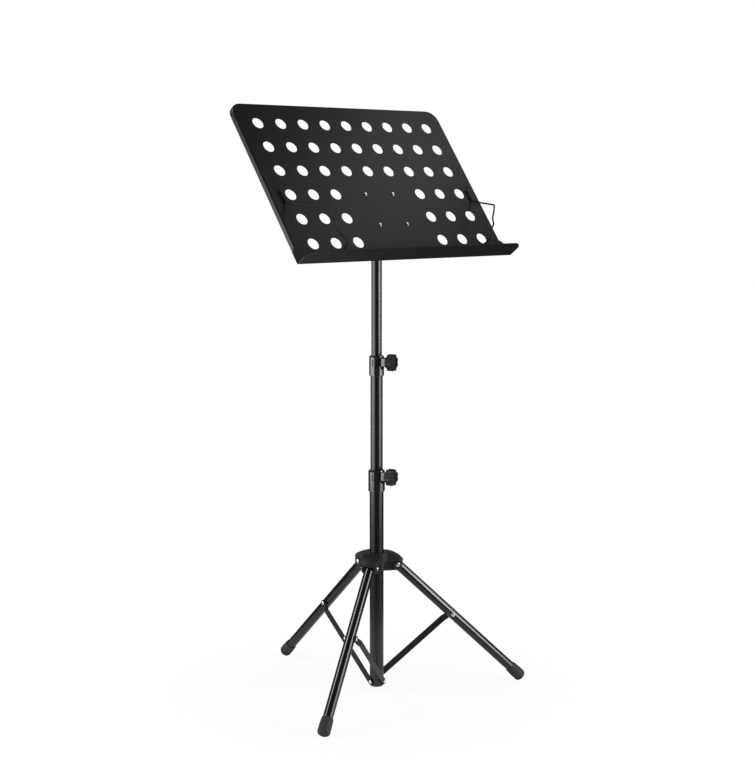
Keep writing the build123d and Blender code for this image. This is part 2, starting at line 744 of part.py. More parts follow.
desk_rivets = []
for x in (-rivet_spacing_x / 2, rivet_spacing_x / 2):
    for rise in (pivot_rise - rivet_spacing_up / 2, pivot_rise + rivet_spacing_up / 2):
        seat = Plane(origin=desk_plane.from_local_coords((x, rise, 0)), x_dir=(1, 0, 0), z_dir=desk_front)
        desk_rivets.append(
            rivet(seat, desk_rivet_radius, desk_rivet_head, desk_sheet + bracket_sheet)
        )
save(Compound(children=desk_rivets), "desk_rivets")

# Page holders and the clips that they turn in. Points run (toward the middle, up, out) on the desk.
wire_route = [
    (27.0, 65.5, 66.0),
    (28.0, 55.5, 58.0),
    (34.5, 45.5, 55.0),
    (34.0, 34.5, 50.0),
    (43.0, 26.0, 48.0),
    (51.0, 9.0, 46.0),
    (57.0, 7.5, 17.0),
]
stop_angle = radians(wire_stop_angle)
stop_end = (wire_stop * cos(stop_angle), wire_hinge_top, wire_axis_out + wire_stop * sin(stop_angle))
hinge_top = (0.0, wire_hinge_top, wire_axis_out)
hinge_bottom = (0.0, wire_hinge_bottom, wire_axis_out)

for name, hand in (("left", -1), ("right", 1)):
    route = [
        desk_plane.from_local_coords((hand * (wire_axis_x - inward), up, out))
        for inward, up, out in [stop_end, hinge_top, hinge_bottom, *wire_route]
    ]
    with BuildPart() as page_holder:
        with BuildLine() as centre_line:
            FilletPolyline(*route, radius=wire_bend)
        with BuildSketch(Plane(origin=route[0], z_dir=route[1] - route[0])):
            Circle(wire_radius)
        sweep(path=centre_line.line)
    save(page_holder.part, f"page_holder_{name}")

    clip_plane = Plane(
        origin=desk_plane.from_local_coords((hand * wire_axis_x, clip_rise, 0)),
        x_dir=(1, 0, 0),
        z_dir=desk_up,
    )
    clip_inside = wire_radius + moving_gap
    clip_outside = clip_inside + clip_sheet
    with BuildPart() as holder_clip:
        with BuildSketch(clip_plane):
            with Locations((0, -wire_axis_out)):
                Circle(clip_outside)
            with Locations((0, -wire_axis_out / 2)):
                Rectangle(2 * clip_outside, wire_axis_out)
            with Locations((0, -clip_sheet / 2)):
                Rectangle(2 * (clip_outside + clip_foot), clip_sheet)
            with Locations((0, -wire_axis_out)):
                Circle(clip_inside, mode=Mode.SUBTRACT)
            with Locations((0, -wire_axis_out / 2)):
                Rectangle(2 * clip_inside, wire_axis_out, mode=Mode.SUBTRACT)
            with Locations((0, clip_outside)):
                Rectangle(2 * clip_outside, 2 * clip_outside, mode=Mode.SUBTRACT)
        extrude(amount=clip_length / 2, both=True)
    save(holder_clip.part, f"holder_clip_{name}")
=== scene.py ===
import json
import math

import bpy
from bpy.props import FloatProperty, FloatVectorProperty, PointerProperty
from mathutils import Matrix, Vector


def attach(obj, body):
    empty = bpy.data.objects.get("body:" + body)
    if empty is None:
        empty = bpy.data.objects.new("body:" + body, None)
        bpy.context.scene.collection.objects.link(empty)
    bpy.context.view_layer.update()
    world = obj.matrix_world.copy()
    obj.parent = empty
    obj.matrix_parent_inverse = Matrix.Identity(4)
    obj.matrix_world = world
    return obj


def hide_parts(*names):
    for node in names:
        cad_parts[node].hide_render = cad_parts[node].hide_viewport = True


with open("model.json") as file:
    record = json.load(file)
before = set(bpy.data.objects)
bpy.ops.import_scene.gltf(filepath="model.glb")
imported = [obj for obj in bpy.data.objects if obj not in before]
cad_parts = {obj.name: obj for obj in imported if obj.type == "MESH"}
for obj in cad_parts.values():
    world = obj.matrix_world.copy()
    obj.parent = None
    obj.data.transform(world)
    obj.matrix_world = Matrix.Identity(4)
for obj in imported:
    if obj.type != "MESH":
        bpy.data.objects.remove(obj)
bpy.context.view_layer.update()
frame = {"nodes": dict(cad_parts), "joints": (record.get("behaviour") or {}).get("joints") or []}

bl_info = {
    "name": "Folding Music Stand",
    "version": (1, 0, 0),
    "blender": (4, 5, 0),
    "location": "3D View > Sidebar > Music Stand",
    "description": "Dresses the packed music stand with its finishes, fittings and studio",
    "category": "Object",
}

NODES = frame["nodes"]
LEG_NAMES = ("back", "left", "right")
TUBE_NODES = ["lower_tube", "middle_tube", "upper_tube"]
LEG_NODES = [f"leg_{name}" for name in LEG_NAMES]
BRACE_NODES = [f"brace_{name}" for name in LEG_NAMES]
DESK_NODES = ["desk", "tilt_bracket_left", "tilt_bracket_right"]
WIRE_NODES = ["page_holder_left", "page_holder_right", "holder_clip_left", "holder_clip_right"]
COLLAR_NODES = ["lower_collar", "upper_collar", "post_plug", "tilt_head"]
KNOB_NODES = ["lower_knob", "upper_knob", "tilt_knob"]
NYLON_NODES = ["middle_slider", "upper_slider", "friction_washers"]
FOOT_NODES = [f"foot_{name}" for name in LEG_NAMES]
ZINC_NODES = ["lower_screw", "upper_screw", "tilt_bolt", "tilt_washer"]

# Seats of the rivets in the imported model, in metres
HUB_HALF_WIDTH = 0.01395
LEG_RADIUS = 0.0090
BRACE_THICKNESS = 0.0020
BRACE_FACE = 0.01135
POST_RIVET_HEIGHT = 0.0145
POST_RIVET_FACE = 0.01505
POST_RIVET_GRIP = 0.0065
RIVET_SPACING = 0.0650
DESK_STACK = 0.0030
DESK_RIVET_CENTRE = Vector((0.0, -0.025645, 0.877633))

# Shape of a rivet: its facets, and shares of the height or width of its head
RIVET_SIDES = 40
CROWN_STEPS = 6
CROWN_PROFILE = 0.5
DOMED_CROWN = 0.8
ROLLED_CROWN = 0.55
EYE_FLARE = 0.3
EYE_NARROWING = 0.82
EYE_DEPTH = 0.5

# Limits for smooth shading and for picking faces and edges
SMOOTH_ANGLE = math.radians(40.0)
FACING = 0.99
LEVEL_TOLERANCE = 1e-6

# Points that the lamps are turned to, and how far away they stand, in metres
MAST_AIM = Vector((0.0, 0.0, 0.40))
TRIPOD_AIM = Vector((0.0, 0.0, 0.15))
DESK_AIM = Vector((0.08, 0.03, 0.95))
LAMP_DISTANCE = 2.3
DESK_LAMP_DISTANCE = 1.6

# Power of single lamps, as shares of the power that the settings give
LEFT_BOX_SHARE = 1.36
RIGHT_BOX_SHARE = 0.8
RIGHT_LEG_BOX_SHARE = 0.8

# Cosines between which the mirrored backdrop fades in
BACKDROP_EDGE = (0.965, 0.985)
WHITE = (1.0, 1.0, 1.0, 1.0)

# Shares of the floor's radius between which it turns to white paper
FLOOR_FADE = (0.5, 0.95)
FLOOR_SIDES = 128

# Width of the camera's frame, in millimetres
SENSOR_WIDTH = 36.0


class StandFinishSettings(bpy.types.PropertyGroup):
    """Colours and gloss of the stand's finishes."""

    desk_colour: FloatVectorProperty(
        name="Desk coat", description="Powder coat of the desk", subtype="COLOR", size=3,
        min=0.0, max=1.0, default=(0.0050, 0.0050, 0.0052),
    )
    desk_roughness: FloatProperty(
        name="Desk roughness", description="Roughness of the powder coat", subtype="FACTOR",
        min=0.0, max=1.0, default=0.38,
    )
    tube_colour: FloatVectorProperty(
        name="Tube enamel", description="Enamel of the mast, legs and braces", subtype="COLOR", size=3,
        min=0.0, max=1.0, default=(0.0050, 0.0050, 0.0052),
    )
    tube_roughness: FloatProperty(
        name="Tube roughness", description="Roughness of the enamel", subtype="FACTOR",
        min=0.0, max=1.0, default=0.24,
    )
    wire_colour: FloatVectorProperty(
        name="Wire coat", description="Dip coat of the page holders", subtype="COLOR", size=3,
        min=0.0, max=1.0, default=(0.0170, 0.0170, 0.0172),
    )
    plastic_colour: FloatVectorProperty(
        name="Moulded plastic", description="Plastic of the hub, collars and knobs", subtype="COLOR", size=3,
        min=0.0, max=1.0, default=(0.0100, 0.0100, 0.0104),
    )
    rubber_colour: FloatVectorProperty(
        name="Rubber", description="Rubber of the feet", subtype="COLOR", size=3,
        min=0.0, max=1.0, default=(0.018, 0.018, 0.018),
    )
    zinc_colour: FloatVectorProperty(
        name="Zinc", description="Plating of the rivets and screws", subtype="COLOR", size=3,
        min=0.0, max=1.0, default=(0.78, 0.78, 0.77),
    )
    nylon_colour: FloatVectorProperty(
        name="Nylon", description="Sliders and friction washers inside the stand", subtype="COLOR", size=3,
        min=0.0, max=1.0, default=(0.10, 0.10, 0.10),
    )


class StandFittingSettings(bpy.types.PropertyGroup):
    """Places and sizes of the rivets."""

    leg_slope: FloatProperty(
        name="Leg slope", description="Slope of an open leg below the level",
        subtype="ANGLE", unit="ROTATION", default=math.radians(43.7),
    )
    brace_reach: FloatProperty(
        name="Brace reach", description="From the top pivot of a leg down to the rivet of its brace",
        subtype="DISTANCE", unit="LENGTH", default=0.1458,
    )
    desk_slope: FloatProperty(
        name="Desk slope", description="Lean of the desk back from the upright",
        subtype="ANGLE", unit="ROTATION", default=math.radians(36.0),
    )
    leg_rivet_head: FloatProperty(
        name="Leg rivet", description="Radius of the rivet heads in the hub",
        subtype="DISTANCE", unit="LENGTH", default=0.0040,
    )
    leg_rivet_shank: FloatProperty(
        name="Leg rivet shank", description="Radius of the rivets in the hub",
        subtype="DISTANCE", unit="LENGTH", default=0.0030,
    )
    brace_rivet_head: FloatProperty(
        name="Brace rivet", description="Radius of the rivet heads on the braces",
        subtype="DISTANCE", unit="LENGTH", default=0.0036,
    )
    desk_rivet_head: FloatProperty(
        name="Desk rivet", description="Radius of the rivet heads on the desk",
        subtype="DISTANCE", unit="LENGTH", default=0.0040,
    )
    thin_shank: FloatProperty(
        name="Thin shank", description="Radius of the rivets of the braces and the desk",
        subtype="DISTANCE", unit="LENGTH", default=0.0020,
    )
    rivet_height: FloatProperty(
        name="Rivet height", description="Height of a rivet head",
        subtype="DISTANCE", unit="LENGTH", default=0.0018,
    )
    rivet_eye: FloatProperty(
        name="Rivet eye", description="Radius of the hollow in a tubular rivet, as a share of its head",
        subtype="FACTOR", min=0.2, max=0.7, default=0.45,
    )


class StandStageSettings(bpy.types.PropertyGroup):
    """Floor, lamps and camera."""

    floor_colour: FloatVectorProperty(
        name="Floor", description="Colour of the floor", subtype="COLOR", size=3,
        min=0.0, max=1.0, default=(0.90, 0.90, 0.90),
    )
    floor_radius: FloatProperty(
        name="Floor radius", description="Radius of the round floor",
        subtype="DISTANCE", unit="LENGTH", default=0.46,
    )
    paper_share: FloatProperty(
        name="Paper share", description="Share of plain white in the floor under the stand",
        subtype="FACTOR", min=0.0, max=1.0, default=0.90,
    )
    floor_mirrored: FloatProperty(
        name="Mirrored floor", description="Share of plain white in the floor where it is mirrored",
        subtype="FACTOR", min=0.0, max=1.0, default=0.10,
    )
    room_light: FloatProperty(
        name="Room light", description="Even light from all around", min=0.0, default=0.30,
    )
    room_mirrored: FloatProperty(
        name="Mirrored room", description="Brightness of the room away from the backdrop, as mirrored",
        min=0.0, max=1.0, default=0.06,
    )
    box_power: FloatProperty(
        name="Soft box power", description="Power of a soft box beside the mast",
        subtype="POWER", unit="POWER", default=33.0,
    )
    leg_box_power: FloatProperty(
        name="Leg box power", description="Power of each box that draws a line along the legs",
        subtype="POWER", unit="POWER", default=17.0,
    )
    desk_box_power: FloatProperty(
        name="Desk box power", description="Power of the small soft box that the desk mirrors",
        subtype="POWER", unit="POWER", default=1.0,
    )
    camera_bearing: FloatProperty(
        name="Camera bearing", description="Turn of the camera to the left of the desk's front",
        subtype="ANGLE", unit="ROTATION", default=math.radians(42.05),
    )
    camera_elevation: FloatProperty(
        name="Camera elevation", description="Height of the camera above the level",
        subtype="ANGLE", unit="ROTATION", default=math.radians(7.27),
    )
    camera_distance: FloatProperty(
        name="Camera distance", description="Distance from the camera to its target",
        subtype="DISTANCE", unit="LENGTH", default=2.80288,
    )
    camera_target_height: FloatProperty(
        name="Target height", description="Height of the point that the camera looks at",
        subtype="DISTANCE", unit="LENGTH", default=0.56508,
    )
    camera_side_step: FloatProperty(
        name="Side step", description="Shift of the camera and its target to the right",
        subtype="DISTANCE", unit="LENGTH", default=0.00161,
    )
    camera_lens: FloatProperty(
        name="Lens", description="Focal length on a 36 mm frame, in millimetres", default=73.10,
    )


def new_material(name):
    """Node material with its tree, its Principled shader and the Object coordinates."""
    material = bpy.data.materials.new(name)
    material.use_nodes = True
    tree = material.node_tree
    shader = tree.nodes["Principled BSDF"]
    place = tree.nodes.new("ShaderNodeTexCoord")
    return material, tree, shader, place.outputs["Object"]


def noise(tree, place, grains, detail=3.0, roughness=0.5):
    """Noise on Object coordinates, with a number of grains to the metre."""
    grain = tree.nodes.new("ShaderNodeTexNoise")
    grain.inputs["Scale"].default_value = grains
    grain.inputs["Detail"].default_value = detail
    grain.inputs["Roughness"].default_value = roughness
    tree.links.new(place, grain.inputs["Vector"])
    return grain.outputs["Fac"]


def spread(tree, factor, low, high, start=0.3, end=0.7):
    """Number that goes from low to high as a factor goes from start to end."""
    ramp = tree.nodes.new("ShaderNodeMapRange")
    ramp.inputs["From Min"].default_value = start
    ramp.inputs["From Max"].default_value = end
    ramp.inputs["To Min"].default_value = low
    ramp.inputs["To Max"].default_value = high
    tree.links.new(factor, ramp.inputs["Value"])
    return ramp.outputs["Result"]


def scaled(colour, share):
    """A shade of a colour."""
    return tuple(min(1.0, channel * share) for channel in colour)


def tint(tree, shader, factor, colour, dark, light, start=0.3, end=0.7):
    """Base colour that goes from a dark to a light shade as a factor goes from start to end."""
    ramp = tree.nodes.new("ShaderNodeValToRGB")
    ramp.color_ramp.elements[0].position = start
    ramp.color_ramp.elements[0].color = (*scaled(colour, dark), 1.0)
    ramp.color_ramp.elements[1].position = end
    ramp.color_ramp.elements[1].color = (*scaled(colour, light), 1.0)
    tree.links.new(factor, ramp.inputs["Fac"])
    tree.links.new(ramp.outputs["Color"], shader.inputs["Base Color"])


def dull(tree, shader, factor, low, high):
    """Roughness between two values that follows a factor."""
    tree.links.new(spread(tree, factor, low, high), shader.inputs["Roughness"])


def relief(tree, shader, height, depth, strength):
    """Bump of a given depth in metres."""
    bump = tree.nodes.new("ShaderNodeBump")
    bump.inputs["Strength"].default_value = strength
    bump.inputs["Distance"].default_value = depth
    tree.links.new(height, bump.inputs["Height"])
    tree.links.new(bump.outputs["Normal"], shader.inputs["Normal"])


def desk_powder_coat(finish):
    """Satin powder coat with a fine peel and faint cloudiness."""
    material, tree, shader, place = new_material("desk_powder_coat")
    cloud = noise(tree, place, grains=14.0, detail=2.0)
    tint(tree, shader, cloud, finish.desk_colour, dark=0.85, light=1.2)
    peel = noise(tree, place, grains=900.0, detail=2.0, roughness=0.6)
    rough = finish.desk_roughness
    dull(tree, shader, peel, low=rough - 0.05, high=rough + 0.06)
    relief(tree, shader, peel, depth=0.00006, strength=0.5)
    shader.inputs["Specular IOR Level"].default_value = 0.4
    return material


def tube_enamel(finish, name="tube_enamel", roughness=None, gloss=0.5):
    """Glossy black enamel with a slow ripple along the tube."""
    material, tree, shader, place = new_material(name)
    rough = finish.tube_roughness if roughness is None else roughness
    ripple = noise(tree, place, grains=60.0, detail=2.0)
    tint(tree, shader, ripple, finish.tube_colour, dark=0.8, light=1.3)
    peel = noise(tree, place, grains=260.0, detail=2.0)
    dull(tree, shader, peel, low=rough - 0.02, high=rough + 0.03)
    relief(tree, shader, peel, depth=0.000005, strength=0.15)
    shader.inputs["Specular IOR Level"].default_value = gloss
    return material


def wire_coat(finish):
    """Dull black dip coat of the page holders and their clips, worn a little paler in places."""
    material, tree, shader, place = new_material("wire_coat")
    wear = noise(tree, place, grains=120.0, detail=4.0, roughness=0.6)
    tint(tree, shader, wear, finish.wire_colour, dark=0.8, light=1.3)
    dull(tree, shader, wear, low=0.45, high=0.6)
    relief(tree, shader, wear, depth=0.00003, strength=0.4)
    shader.inputs["Specular IOR Level"].default_value = 0.2
    return material


def moulded_plastic(finish, name, roughness, grain_depth, gloss):
    """Black moulded plastic with a spark-eroded grain."""
    material, tree, shader, place = new_material(name)
    cloud = noise(tree, place, grains=90.0)
    tint(tree, shader, cloud, finish.plastic_colour, dark=0.8, light=1.35)
    grain = noise(tree, place, grains=1400.0, detail=2.0, roughness=0.7)
    dull(tree, shader, grain, low=roughness - 0.06, high=roughness + 0.08)
    relief(tree, shader, grain, depth=grain_depth, strength=0.6)
    shader.inputs["Specular IOR Level"].default_value = gloss
    return material


def foot_rubber(finish):
    """Matt rubber with a dusty speckle."""
    material, tree, shader, place = new_material("foot_rubber")
    speckle = noise(tree, place, grains=650.0, detail=4.0, roughness=0.7)
    tint(tree, shader, speckle, finish.rubber_colour, dark=0.6, light=1.7, start=0.35, end=0.75)
    dull(tree, shader, speckle, low=0.62, high=0.82)
    relief(tree, shader, speckle, depth=0.00012, strength=0.6)
    shader.inputs["Specular IOR Level"].default_value = 0.35
    return material


def zinc_plate(finish, name="zinc_plate", shade=1.0, smooth=0.22, rough=0.36):
    """Zinc plating, slightly clouded."""
    material, tree, shader, place = new_material(name)
    cloud = noise(tree, place, grains=500.0)
    tint(tree, shader, cloud, scaled(finish.zinc_colour, shade), dark=0.85, light=1.08)
    dull(tree, shader, cloud, low=smooth, high=rough)
    relief(tree, shader, cloud, depth=0.00004, strength=0.4)
    shader.inputs["Metallic"].default_value = 1.0
    return material


def nylon(finish):
    """Dark grey nylon with a faint flow pattern."""
    material, tree, shader, place = new_material("nylon")
    flow = noise(tree, place, grains=240.0)
    tint(tree, shader, flow, finish.nylon_colour, dark=0.8, light=1.2)
    dull(tree, shader, flow, low=0.38, high=0.5)
    return material


def dress(names, material):
    """Give a finish to CAD nodes."""
    for name in names:
        slots = NODES[name].data.materials
        slots.clear()
        slots.append(material)


class STAND_OT_coat_desk(bpy.types.Operator):
    """Powder-coat the desk and its brackets"""

    bl_idname = "stand.coat_desk"
    bl_label = "Coat Desk"

    def execute(self, context):
        dress(DESK_NODES, desk_powder_coat(context.scene.stand_finish))
        return {"FINISHED"}


class STAND_OT_enamel_tubes(bpy.types.Operator):
    """Coat the mast, the legs, the braces and the wires"""

    bl_idname = "stand.enamel_tubes"
    bl_label = "Enamel Tubes"

    def execute(self, context):
        finish = context.scene.stand_finish
        dress(TUBE_NODES, tube_enamel(finish))
        dress(LEG_NODES, tube_enamel(finish, "leg_enamel", roughness=0.15, gloss=0.45))
        dress(BRACE_NODES, tube_enamel(finish, "brace_enamel", roughness=0.42, gloss=0.22))
        dress(WIRE_NODES, wire_coat(finish))
        return {"FINISHED"}


class STAND_OT_mould_plastics(bpy.types.Operator):
    """Finish the hub, the collars and the knobs"""

    bl_idname = "stand.mould_plastics"
    bl_label = "Mould Plastics"

    def execute(self, context):
        finish = context.scene.stand_finish
        collar = moulded_plastic(finish, "collar_plastic", roughness=0.15, grain_depth=0.00002, gloss=0.8)
        dress(COLLAR_NODES, collar)
        hub = moulded_plastic(finish, "hub_plastic", roughness=0.5, grain_depth=0.00008, gloss=0.25)
        dress(["hub"], hub)
        knob = moulded_plastic(finish, "knob_plastic", roughness=0.42, grain_depth=0.00005, gloss=0.3)
        dress(KNOB_NODES, knob)
        dress(NYLON_NODES, nylon(finish))
        return {"FINISHED"}


def deselect():
    """Leave edit mode with nothing selected, so that an operator acts only on what comes next."""
    if bpy.context.object and bpy.context.object.mode != "OBJECT":
        bpy.ops.object.mode_set(mode="OBJECT")
    bpy.ops.object.select_all(action="DESELECT")


def pick(piece, kind, wanted):
    """Select in edit mode the faces or edges that pass a test."""
    bpy.ops.object.mode_set(mode="EDIT")
    bpy.ops.mesh.select_mode(type=kind)
    bpy.ops.mesh.select_all(action="DESELECT")
    bpy.ops.object.mode_set(mode="OBJECT")
    mesh = piece.data
    for item in {"FACE": mesh.polygons, "EDGE": mesh.edges}[kind]:
        item.select = wanted(item)
    bpy.ops.object.mode_set(mode="EDIT")


def level_at(piece, height):
    """Test for edges that lie level at a height."""
    corners = piece.data.vertices
    return lambda edge: all(abs(corners[index].co.z - height) < LEVEL_TOLERANCE for index in edge.vertices)


def sink(depth):
    """Extrude the selected faces downwards."""
    bpy.ops.mesh.extrude_region_move(TRANSFORM_OT_translate={"value": (0, 0, -depth)})


def frame_along(origin, axis):
    """Placement whose local Z runs along an axis."""
    place = axis.to_track_quat("Z", "Y").to_matrix().to_4x4()
    place.translation = origin
    return place


def settle(piece, place):
    """Put a piece in its place and leave its object at the origin."""
    deselect()
    piece.matrix_world = place
    piece.select_set(True)
    bpy.context.view_layer.objects.active = piece
    bpy.ops.object.transform_apply(location=True, rotation=True, scale=True)
    return piece


def copy_to(pattern, places):
    """Copies of a modelled piece, one at each place, joined into one."""
    copies = []
    for place in places:
        deselect()
        pattern.select_set(True)
        bpy.context.view_layer.objects.active = pattern
        bpy.ops.object.duplicate(linked=False)
        copies.append(settle(bpy.context.object, place))
    deselect()
    for piece in copies:
        piece.select_set(True)
    bpy.context.view_layer.objects.active = copies[0]
    if len(copies) > 1:
        bpy.ops.object.join()
    return bpy.context.object


def discard(piece):
    """Delete a pattern that has been copied."""
    deselect()
    piece.select_set(True)
    bpy.ops.object.delete()


def finish_piece(piece, name, material, body, node):
    """Name a piece, give it its finish and its body, and hide the CAD node that it stands in for."""
    deselect()
    piece.select_set(True)
    bpy.context.view_layer.objects.active = piece
    bpy.ops.object.shade_smooth_by_angle(angle=SMOOTH_ANGLE)
    piece.name = name
    piece.data.name = name
    piece.data.materials.clear()
    piece.data.materials.append(material)
    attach(piece, body)
    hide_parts(node)


def rivet_pattern(radius, shank, height, grip, eye_share=None):
    """Rivet on the local XY plane: a crowned head above, a shank below, and an eye in a tubular one."""
    deselect()
    middle = (0, 0, height / 2)
    bpy.ops.mesh.primitive_cylinder_add(vertices=RIVET_SIDES, radius=radius, depth=height, location=middle)
    rivet = bpy.context.object
    bpy.ops.object.transform_apply(location=True)
    pick(rivet, "EDGE", level_at(rivet, height))
    crown = height * (ROLLED_CROWN if eye_share else DOMED_CROWN)
    bpy.ops.mesh.bevel(offset=crown, segments=CROWN_STEPS, profile=CROWN_PROFILE)
    bpy.ops.object.mode_set(mode="OBJECT")
    if eye_share:
        pick(rivet, "FACE", lambda face: face.normal.z > FACING)
        bpy.ops.mesh.inset(thickness=(radius - crown) - radius * eye_share)
        sink(height * EYE_FLARE)
        bpy.ops.transform.resize(value=(EYE_NARROWING, EYE_NARROWING, 1.0))
        sink(height * EYE_DEPTH)
        bpy.ops.object.mode_set(mode="OBJECT")
    pick(rivet, "FACE", lambda face: face.normal.z < -FACING)
    bpy.ops.mesh.inset(thickness=radius - shank)
    sink(grip)
    bpy.ops.object.mode_set(mode="OBJECT")
    return rivet


def leg_places(fitting):
    """For each leg: its top pivot, the rivet of its brace, and the direction of its hinge."""
    places = {}
    for joint in frame["joints"]:
        name = joint["name"]
        if name.startswith("leg_"):
            pivot = Vector(joint["pos_m"])
            outward = Vector((pivot.x, pivot.y, 0.0)).normalized()
            down = outward * math.cos(fitting.leg_slope) - Vector((0.0, 0.0, math.sin(fitting.leg_slope)))
            tie = pivot + down * fitting.brace_reach
            places[joint["child"].removeprefix("leg_")] = (pivot, tie, Vector(joint["axis"]))
    return places


class STAND_OT_tripod_rivets(bpy.types.Operator):
    """Roll the tubular rivets of the hub, the legs, the braces and the post"""

    bl_idname = "stand.tripod_rivets"
    bl_label = "Tripod Rivets"

    def execute(self, context):
        fitting = context.scene.stand_fitting
        zinc = zinc_plate(context.scene.stand_finish)
        places = leg_places(fitting)
        height, eye = fitting.rivet_height, fitting.rivet_eye

        head, shank = fitting.leg_rivet_head, fitting.leg_rivet_shank
        pattern = rivet_pattern(head, shank, height, HUB_HALF_WIDTH, eye)
        seats = []
        for pivot, _, side in places.values():
            seats.append(frame_along(pivot + side * HUB_HALF_WIDTH, side))
            seats.append(frame_along(pivot - side * HUB_HALF_WIDTH, -side))
        finish_piece(copy_to(pattern, seats), "hub_eyelets", zinc, "hub", "hub_rivets")
        discard(pattern)

        grips = {"leg": 2 * LEG_RADIUS, "brace": BRACE_THICKNESS, "post": POST_RIVET_GRIP}
        patterns = {
            kind: rivet_pattern(fitting.brace_rivet_head, fitting.thin_shank, height, grip, eye)
            for kind, grip in grips.items()
        }
        post_seats = []
        for name, (_, tie, side) in places.items():
            tie_seats = {
                "leg": frame_along(tie - side * LEG_RADIUS, -side),
                "brace": frame_along(tie + side * BRACE_FACE, side),
            }
            for kind, seat in tie_seats.items():
                eyelet = copy_to(patterns[kind], [seat])
                body, node = f"{kind}_{name}", f"{kind}_rivet_{name}"
                finish_piece(eyelet, f"{kind}_eyelet_{name}", zinc, body, node)
            foot = Vector((0.0, 0.0, POST_RIVET_HEIGHT))
            post_seats.append(frame_along(foot + side * POST_RIVET_FACE, side))
        post = copy_to(patterns["post"], post_seats)
        finish_piece(post, "post_eyelets", zinc, "post", "post_rivets")
        for pattern in patterns.values():
            discard(pattern)
        return {"FINISHED"}


class STAND_OT_desk_rivets(bpy.types.Operator):
    """Set the four domed rivets that hold the desk on its brackets"""

    bl_idname = "stand.desk_rivets"
    bl_label = "Desk Rivets"

    def execute(self, context):
        fitting = context.scene.stand_fitting
        finish = context.scene.stand_finish
        zinc = zinc_plate(finish, "desk_rivet_zinc", shade=0.42, smooth=0.10, rough=0.16)
        upward = Vector((0.0, math.sin(fitting.desk_slope), math.cos(fitting.desk_slope)))
        outward = Vector((0.0, -math.cos(fitting.desk_slope), math.sin(fitting.desk_slope)))
        grip = DESK_STACK / 2
        pattern = rivet_pattern(fitting.desk_rivet_head, fitting.thin_shank, fitting.rivet_height, grip)
        seats = []
        for across in (-RIVET_SPACING / 2, RIVET_SPACING / 2):
            for rise in (-RIVET_SPACING / 2, RIVET_SPACING / 2):
                spot = DESK_RIVET_CENTRE + Vector((across, 0.0, 0.0)) + upward * rise
                seats.append(frame_along(spot, outward))
                seats.append(frame_along(spot - outward * DESK_STACK, -outward))
        finish_piece(copy_to(pattern, seats), "desk_domes", zinc, "desk", "desk_rivets")
        discard(pattern)
        return {"FINISHED"}


class STAND_OT_rubber_feet(bpy.types.Operator):
    """Finish the rubber feet"""

    bl_idname = "stand.rubber_feet"
    bl_label = "Rubber Feet"

    def execute(self, context):
        dress(FOOT_NODES, foot_rubber(context.scene.stand_finish))
        return {"FINISHED"}


class STAND_OT_zinc_fasteners(bpy.types.Operator):
    """Plate the screws, the bolt and its washer"""

    bl_idname = "stand.zinc_fasteners"
    bl_label = "Zinc Fasteners"

    def execute(self, context):
        dress(ZINC_NODES, zinc_plate(context.scene.stand_finish))
        return {"FINISHED"}


def rays(tree, kind):
    """One for rays of a kind."""
    return tree.nodes.new("ShaderNodeLightPath").outputs[kind]


def combine(tree, operation, first, second):
    """Math on two numbers."""
    result = tree.nodes.new("ShaderNodeMath")
    result.operation = operation
    tree.links.new(first, result.inputs[0])
    tree.links.new(second, result.inputs[1])
    return result.outputs[0]


def mirrored(tree):
    """One for what glossy or clear surfaces show."""
    return combine(tree, "MAXIMUM", rays(tree, "Is Glossy Ray"), rays(tree, "Is Transmission Ray"))


def mix_to_output(tree, share, plain, special, output):
    """Surface that turns from a plain to a special shader with a share."""
    mix = tree.nodes.new("ShaderNodeMixShader")
    tree.links.new(share, mix.inputs["Fac"])
    tree.links.new(plain.outputs[0], mix.inputs[1])
    tree.links.new(special.outputs[0], mix.inputs[2])
    tree.links.new(mix.outputs[0], tree.nodes[output].inputs["Surface"])


def towards_backdrop(tree, stage):
    """Cosine of the angle from the middle of the lit backdrop behind the stand."""
    place = tree.nodes.new("ShaderNodeTexCoord")
    facing = tree.nodes.new("ShaderNodeVectorMath")
    facing.operation = "DOT_PRODUCT"
    facing.inputs[1].default_value = (math.sin(stage.camera_bearing), math.cos(stage.camera_bearing), 0.0)
    tree.links.new(place.outputs["Generated"], facing.inputs[0])
    return facing.outputs["Value"]


def studio_world(stage):
    """Soft even light, and a white backdrop where it is seen or mirrored."""
    world = bpy.data.worlds.new("studio")
    bpy.context.scene.world = world
    world.use_nodes = True
    tree = world.node_tree
    light = tree.nodes["Background"]
    light.inputs["Color"].default_value = WHITE
    light.inputs["Strength"].default_value = stage.room_light
    white = tree.nodes.new("ShaderNodeBackground")
    white.inputs["Color"].default_value = WHITE
    backdrop = spread(tree, towards_backdrop(tree, stage), stage.room_mirrored, 1.0, *BACKDROP_EDGE)
    level = combine(tree, "MAXIMUM", rays(tree, "Is Camera Ray"), backdrop)
    tree.links.new(level, white.inputs["Strength"])
    shown = combine(tree, "MAXIMUM", rays(tree, "Is Camera Ray"), mirrored(tree))
    mix_to_output(tree, shown, light, white, "World Output")


